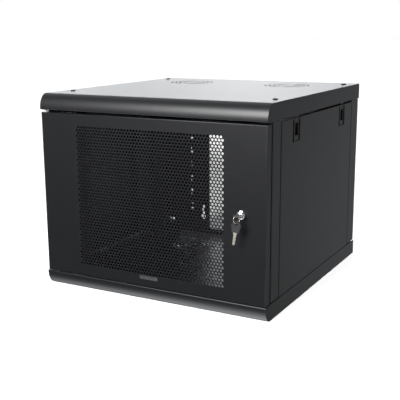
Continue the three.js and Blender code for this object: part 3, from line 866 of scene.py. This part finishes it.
def lock_body():
    """The lock's chromed barrel: a domed collar in front and a threaded body behind."""
    low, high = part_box("lock_body")
    centre = middle_of("lock_body")
    collar = (high.x - low.x) / 2
    shoulder = low.y + LOCK_COLLAR_DEPTH
    profile = [
        (LOCK_BORE_RADIUS, low.y + 1.3 * MM),
        (LOCK_BORE_RADIUS + 0.25 * MM, low.y + 1.0 * MM),
        (LOCK_BORE_RADIUS + 0.9 * MM, low.y + 0.3 * MM),
        (LOCK_BORE_RADIUS + 1.5 * MM, low.y),
        (collar - 1.6 * MM, low.y + 0.1 * MM),
        (collar - 0.8 * MM, low.y + 0.5 * MM),
        (collar - 0.25 * MM, low.y + 1.3 * MM),
        (collar, low.y + 2.3 * MM),
        (collar, shoulder - 0.2 * MM),
        (collar - 0.2 * MM, shoulder),
        (LOCK_BARREL_RADIUS, shoulder),
        *threaded(LOCK_BARREL_RADIUS, shoulder + 2 * MM, high.y - MM),
        (LOCK_BARREL_RADIUS - 0.5 * MM, high.y),
        (LOCK_BORE_RADIUS, high.y),
    ]
    shape = lathe(profile, (centre.x, centre.z), 1, 56)
    place(object_from("chromed_lock_barrel", shape, 24), "lock_body", CHROME)


def lock_plug():
    """The turning plug: a bevelled face with a keyway, and a square end for the cam."""
    low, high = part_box("lock_plug")
    centre = middle_of("lock_plug")
    shoulder = high.y - PLUG_SQUARE_LENGTH
    profile = [
        (0, low.y),
        (PLUG_RADIUS - 1.1 * MM, low.y),
        (PLUG_RADIUS - 0.4 * MM, low.y + 0.35 * MM),
        (PLUG_RADIUS, low.y + 1.1 * MM),
        (PLUG_RADIUS, shoulder),
        (0, shoulder),
    ]
    square = box_shape(
        (centre.x - PLUG_SQUARE_HALF, shoulder - 2 * MM, centre.z - PLUG_SQUARE_HALF),
        (centre.x + PLUG_SQUARE_HALF, high.y, centre.z + PLUG_SQUARE_HALF),
    )
    shape = join("plug", lathe(profile, (centre.x, centre.z), 1, 48), square)
    half_x, half_z = KEYWAY_HALF
    keyway = box_shape(
        (centre.x - half_x, low.y - MM, centre.z - half_z),
        (centre.x + half_x, low.y + KEYWAY_DEPTH, centre.z + half_z),
    )
    place(object_from("bevelled_lock_plug", cut("plug", shape, keyway), 24), "lock_plug", CHROME)


# ---- Keys, drawn flat in XY with the blade along +Y and the bow round the origin ----

BOW_RADIUS = 11 * MM
BOW_HALF_THICKNESS = 1.3 * MM
BOW_HOLE_RADIUS = 3.6 * MM
BOW_HOLE_Y = -5 * MM
BOW_SHOULDER_HALF = 8.5 * MM
BOW_OPEN_ARC = (-40, 220)
DISH_RADIUS = 6.2 * MM
DISH_Y = 2.6 * MM
DISH_DEPTH = 0.3 * MM
BLADE_HALF = 4 * MM
BLADE_HALF_THICKNESS = 1 * MM
BITTING_DEPTHS = (0.9 * MM, 1.7 * MM, 0.6 * MM, 2 * MM, 1.2 * MM)
GROOVE_XS = (-1.1, 0.9)
GROOVE_HALF_WIDTH = 0.35
GROOVE_DEPTH = 0.35 * MM


def key_blade(name, start, tip):
    """A key's blade: a wider stop, bitting on one edge and two milled grooves on each face."""
    stop = start + 0.3 * (tip - start)
    step = (tip - 3 * MM - stop) / len(BITTING_DEPTHS)
    land = BLADE_HALF - 0.4 * MM
    spine = -BLADE_HALF + 1.3 * MM
    bitting = []
    for i, depth in enumerate(BITTING_DEPTHS):
        y = stop + step * i
        bitting += [(land, y), (land - depth, y + step * 0.35), (land - depth, y + step * 0.65)]
    outline = [
        (-BLADE_HALF, start),
        (BLADE_HALF, start),
        (BLADE_HALF, stop - 1.6 * MM),
        (land, stop - 1.2 * MM),
        *bitting,
        (BLADE_HALF - 1.6 * MM, tip - 2 * MM),
        (0.4 * MM, tip),
        (-0.6 * MM, tip),
        (spine, tip - 2 * MM),
        (spine, stop - 1.2 * MM),
        (-BLADE_HALF, stop - 1.6 * MM),
    ]
    blade = prism(outline, 2, -BLADE_HALF_THICKNESS, BLADE_HALF_THICKNESS)
    grooves = []
    for side in SIDES.values():
        face = side * BLADE_HALF_THICKNESS
        z_low, z_high = sorted((face - side * GROOVE_DEPTH, face + side * MM))
        for x in GROOVE_XS:
            groove_low = ((x - GROOVE_HALF_WIDTH) * MM, stop - 2 * MM, z_low)
            groove_high = ((x + GROOVE_HALF_WIDTH) * MM, tip + MM, z_high)
            grooves.append(box_shape(groove_low, groove_high))
    return soften(cut(name, blade, *grooves), 0.12 * MM, 1)


def key_bow(name, hole_x, shoulder=None):
    """A key's moulded bow, with a dished middle and a hole for the ring. It is round, or runs
    on to a straight shoulder."""
    if shoulder:
        first, last = BOW_OPEN_ARC
        angles = [math.radians(first + (last - first) * i / 40) for i in range(41)]
        outline = [(-BOW_RADIUS * math.cos(a), -BOW_RADIUS * math.sin(a)) for a in angles]
        outline += [(BOW_SHOULDER_HALF, shoulder), (-BOW_SHOULDER_HALF, shoulder)]
    else:
        outline = circle(0, 0, BOW_RADIUS, 56)
    bow = prism(outline, 2, -BOW_HALF_THICKNESS, BOW_HALF_THICKNESS)
    tools = [prism(circle(hole_x, BOW_HOLE_Y, BOW_HOLE_RADIUS, 24), 2, -3 * MM, 3 * MM)]
    for side in SIDES.values():
        floor_level = side * (BOW_HALF_THICKNESS - DISH_DEPTH)
        levels = sorted((floor_level, side * (BOW_HALF_THICKNESS + MM)))
        tools.append(prism(circle(0, DISH_Y, DISH_RADIUS, 36), 2, *levels))
    return soften(cut(name, bow, *tools), 0.45 * MM, 3)


def set_at(shape, matrix):
    bmesh.ops.transform(shape, matrix=matrix, verts=shape.verts)
    return shape


def key():
    """The key in the lock: it lies flat, with its blade in the keyway."""
    low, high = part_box("key")
    lock = middle_of("lock_plug")
    at = Matrix.Translation((lock.x, low.y + BOW_RADIUS, lock.z))
    bow = set_at(key_bow("key_bow", 4 * MM), at)
    blade = set_at(key_blade("key_blade", 7 * MM, high.y - low.y - BOW_RADIUS), at)
    place(object_from("key_bow", bow), "key", KEY_PLASTIC)
    place(object_from("key_blade", blade, 20), "key", NICKEL, stands_for=False)


def spare_key():
    """The spare key hangs from the ring by its bow's hole, blade down and a little askew."""
    ring_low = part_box("key_ring")[0]
    ring = middle_of("key_ring")
    at = (
        Matrix.Translation((ring.x, ring.y, ring_low.z - 0.8 * MM))
        @ Matrix.Rotation(math.radians(6), 4, "Z")
        @ Matrix.Rotation(math.radians(8), 4, "Y")
        @ Matrix.Rotation(-math.pi / 2, 4, "X")
        @ Matrix.Translation((0, -BOW_HOLE_Y, 0))
    )
    bow = set_at(key_bow("spare_bow", 0, shoulder=15 * MM), at)
    blade = set_at(key_blade("spare_blade", 11 * MM, 43.3 * MM), at)
    place(object_from("spare_key_bow", bow), "spare_key", KEY_PLASTIC)
    place(object_from("spare_key_blade", blade, 20), "spare_key", NICKEL, stands_for=False)


# ---- Wire parts ----

RING_WIRE_RADIUS = 0.4 * MM
RING_SWAY = 0.27 * MM
RING_CLEARANCE = 0.02 * MM
RING_STEPS = 112
RING_HEADING = math.radians(35)
COIL_SIDES = 28
CLOSED_END_SHARE = 0.09


def split_ring():
    """A key ring of wound wire: two turns side by side."""
    low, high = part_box("key_ring")
    centre = middle_of("key_ring")
    reach = (high.z - low.z) / 2 - RING_WIRE_RADIUS - RING_CLEARANCE
    up = Vector((0, 0, 1))
    across = Vector((-math.sin(RING_HEADING), -math.cos(RING_HEADING), 0))
    normal = across.cross(up)
    points = []
    for i in range(RING_STEPS):
        angle = 4 * math.pi * i / RING_STEPS
        sway = RING_SWAY * math.sin(2 * math.pi * i / RING_STEPS + 0.4)
        run = centre + across * (reach * math.cos(angle)) + up * (reach * math.sin(angle))
        points.append(run + normal * sway)
    wire = tube(points, RING_WIRE_RADIUS, closed=True)
    place(object_from("split_key_ring", wire, 60), "key_ring", NICKEL)


def coil(node, wire, turns):
    """A compression spring with closed ends, in the room that its node takes."""
    low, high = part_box(node)
    centre = middle_of(node)
    radius = (high.x - low.x) / 2 - wire
    start = low.z + wire
    end = high.z - wire
    steps = int(turns * COIL_SIDES)
    points = []
    for i in range(steps + 1):
        share = i / steps
        angle = 2 * math.pi * turns * share
        rise = min(max((share - CLOSED_END_SHARE) / (1 - 2 * CLOSED_END_SHARE), 0), 1)
        x = centre.x + radius * math.cos(angle)
        y = centre.y + radius * math.sin(angle)
        points.append(Vector((x, y, start + (end - start) * rise)))
    piece = place(object_from(f"wound_{node}", tube(points, wire), 60), node, ZINC)
    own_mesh(piece)


# ---- Badge ----

BADGE_RIM = 0.7 * MM
BADGE_FIELD_DEPTH = 0.25 * MM


def badge():
    """A small blank plate with a raised rim."""
    low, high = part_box("door_badge_plate")
    field = box_shape(
        (low.x + BADGE_RIM, low.y - MM, low.z + BADGE_RIM),
        (high.x - BADGE_RIM, low.y + BADGE_FIELD_DEPTH, high.z - BADGE_RIM),
    )
    shape = soften(cut("plate", box_shape(low, high), field), 0.12 * MM)
    place(object_from("blank_badge_plate", shape), "door_badge_plate", BADGE)


# ---- Build ----

cover_shell("top_cover", "rounded_top_cover", 1)
cover_shell("base_pan", "rounded_base_pan", -1)
perforated_door()
for side_name in SIDES:
    side_panel(side_name)
    for depth in DEPTHS:
        post(depth, side_name)
        housing = f"{depth}_latch_housing_{side_name}"
        slider = f"{depth}_latch_slider_{side_name}"
        rail = f"{depth}_rail_{side_name}"
        refined(housing, f"moulded_{housing}", NYLON)
        refined(slider, f"pressed_{slider}", POWDER)
        refined(rail, f"punched_{rail}", POWDER)
    for level in ("upper", "lower"):
        support = f"{level}_rail_support_{side_name}"
        refined(support, f"slotted_{support}", POWDER)
refined("rear_panel", "punched_rear_panel", POWDER)
for edge in ("hinge_side", "lock_side"):
    refined(f"door_stiffener_{edge}", f"folded_stiffener_{edge}", POWDER)

lock_body()
lock_plug()
key()
spare_key()
split_ring()
badge()
for side_name in SIDES:
    for depth in DEPTHS:
        cover_screw(depth, side_name)
        coil(f"{depth}_latch_spring_{side_name}", wire=0.6 * MM, turns=6.5)
        for level in ("lower", "upper"):
            bolt = f"{depth}_rail_{side_name}_{level}_bolt"
            refined(bolt, f"plated_{bolt}", ZINC, 0.25 * MM)
coil("upper_hinge_spring", wire=0.5 * MM, turns=9)
for node, made_by, material in (
    ("lower_hinge_bracket", "pressed", ZINC),
    ("upper_hinge_bracket", "pressed", ZINC),
    ("lower_hinge_pin", "turned", ZINC),
    ("upper_hinge_pin", "turned", ZINC),
    ("upper_hinge_bush", "moulded", NYLON),
    ("lock_nut", "chamfered", ZINC),
    ("lock_cam", "pressed", ZINC),
    ("lock_cam_screw", "turned", ZINC),
):
    refined(node, f"{made_by}_{node}", material, 0.2 * MM)


# ---- Floor, light and camera ----

FLOOR_TONE = (0.82, 0.82, 0.82)
FLOOR_SIZE = 30
FLOOR_LIGHT_ANGLE = math.radians(16)


def floor():
    """A plain pale floor. Glossy rays pass through it to the light patch under the cabinet."""
    shape = bmesh.new()
    bmesh.ops.create_grid(shape, x_segments=1, y_segments=1, size=FLOOR_SIZE)
    made = object_from("studio_floor", shape)
    material, _, _, shader = new_material("pale_floor")
    shader.inputs["Base Color"].default_value = (*FLOOR_TONE, 1)
    shader.inputs["Roughness"].default_value = 0.7
    shader.inputs["Specular IOR Level"].default_value = 0
    made.data.materials.append(material)
    made.visible_glossy = False
    return made


def floor_light(lit_floor, towards, strength):
    """Low light over the floor alone: the cabinet's shadow falls behind it."""
    data = bpy.data.lights.new("floor_light", "SUN")
    data.energy = strength
    data.angle = FLOOR_LIGHT_ANGLE
    made = bpy.data.objects.new("floor_light", data)
    bpy.context.scene.collection.objects.link(made)
    made.rotation_euler = Vector(towards).to_track_quat("-Z", "Y").to_euler()
    receivers = bpy.data.collections.new("lit_floor")
    receivers.objects.link(lit_floor)
    made.light_linking.receiver_collection = receivers


def soft_light(name, location, target, size, radiance):
    """A rectangular softbox; radiance is how bright its face looks."""
    data = bpy.data.lights.new(name, "AREA")
    data.shape = "RECTANGLE"
    data.size, data.size_y = size
    data.energy = radiance * math.pi * size[0] * size[1]
    made = bpy.data.objects.new(name, data)
    bpy.context.scene.collection.objects.link(made)
    made.location = location
    towards = Vector(target) - Vector(location)
    made.rotation_euler = towards.to_track_quat("-Z", "Y").to_euler()


# Soft patches of light in the studio round the cabinet: the direction of each one's
# middle, the angles in degrees where it starts to fade and where it ends, its brightness.
STUDIO_DARK = 0.035
STUDIO_TINT = (0.96, 0.98, 1)
STUDIO_PATCHES = (
    ((-0.34, 0.94, -0.05), 5, 18, 5.9),
    ((-0.53, 0.85, -0.05), 5, 18, 3.3),
    ((-0.69, 0.72, -0.05), 5, 18, 4.2),
    ((-0.5, 0.55, 0.6), 10, 38, 0.7),
    ((0.22, 0.97, -0.2), 4, 21, 0.42),
    ((0.1, -0.1, -1.0), 24, 54, 3.6),
    ((0.0, -0.1, 1.0), 25, 60, 0.4),
    ((1.0, 0.0, -0.25), 20, 55, 0.5),
    ((-1.0, 0.15, -0.25), 20, 50, 0.45),
    ((0.6, -0.8, -0.05), 14, 42, 0.55),
)


def light_patch(nodes, links, direction, middle, fade, end, brightness):
    """The brightness that one soft patch adds in a direction."""
    towards = nodes.new("ShaderNodeVectorMath")
    towards.operation = "DOT_PRODUCT"
    towards.inputs[1].default_value = Vector(middle).normalized()
    links.new(direction, towards.inputs[0])
    patch = nodes.new("ShaderNodeMapRange")
    patch.interpolation_type = "SMOOTHSTEP"
    patch.inputs["From Min"].default_value = math.cos(math.radians(end))
    patch.inputs["From Max"].default_value = math.cos(math.radians(fade))
    patch.inputs["To Min"].default_value = 0
    patch.inputs["To Max"].default_value = brightness
    links.new(towards.outputs["Value"], patch.inputs["Value"])
    return patch.outputs["Result"]


def surroundings():
    """A dim studio with soft patches of light, seen by the cabinet; the camera sees white."""
    world = bpy.data.worlds.new("studio")
    bpy.context.scene.world = world
    world.use_nodes = True
    nodes, links = world.node_tree.nodes, world.node_tree.links
    direction = nodes.new("ShaderNodeTexCoord").outputs["Generated"]
    total = None
    for patch in STUDIO_PATCHES:
        add = nodes.new("ShaderNodeMath")
        add.operation = "ADD"
        links.new(light_patch(nodes, links, direction, *patch), add.inputs[0])
        if total:
            links.new(total, add.inputs[1])
        else:
            add.inputs[1].default_value = STUDIO_DARK
        total = add.outputs["Value"]
    studio = nodes["Background"]
    links.new(total, studio.inputs["Strength"])
    studio.inputs["Color"].default_value = (*STUDIO_TINT, 1)
    white = nodes.new("ShaderNodeBackground")
    white.inputs["Color"].default_value = (1, 1, 1, 1)
    choose = nodes.new("ShaderNodeMixShader")
    path = nodes.new("ShaderNodeLightPath")
    links.new(path.outputs["Is Camera Ray"], choose.inputs["Fac"])
    links.new(studio.outputs["Background"], choose.inputs[1])
    links.new(white.outputs["Background"], choose.inputs[2])
    links.new(choose.outputs["Shader"], nodes["World Output"].inputs["Surface"])


def camera(location, heading, tilt, roll, lens):
    """A camera that looks along +Y before it is turned; angles are in radians."""
    data = bpy.data.cameras.new("viewpoint")
    data.sensor_width = 36
    data.lens = lens
    data.clip_end = 100
    made = bpy.data.objects.new("viewpoint", data)
    bpy.context.scene.collection.objects.link(made)
    turn = (
        Matrix.Rotation(heading, 4, "Z")
        @ Matrix.Rotation(math.pi / 2 + tilt, 4, "X")
        @ Matrix.Rotation(roll, 4, "Z")
    )
    made.matrix_world = Matrix.Translation(location) @ turn
    bpy.context.scene.camera = made


floor_light(floor(), towards=(-0.588, 0.809, -0.17), strength=19)
surroundings()
soft_light(
    "front_softbox",
    location=(-0.52, -2.8, 1.72),
    target=(0, -0.2, 0.4),
    size=(1.4, 1.5),
    radiance=23,
)
# The eye stands to the right of the door and a little above the cabinet.
camera((0.9334, -1.7675, 0.6402), heading=0.499, tilt=-0.223, roll=-0.006, lens=69.37)
bpy.context.scene.view_settings.view_transform = "Standard"
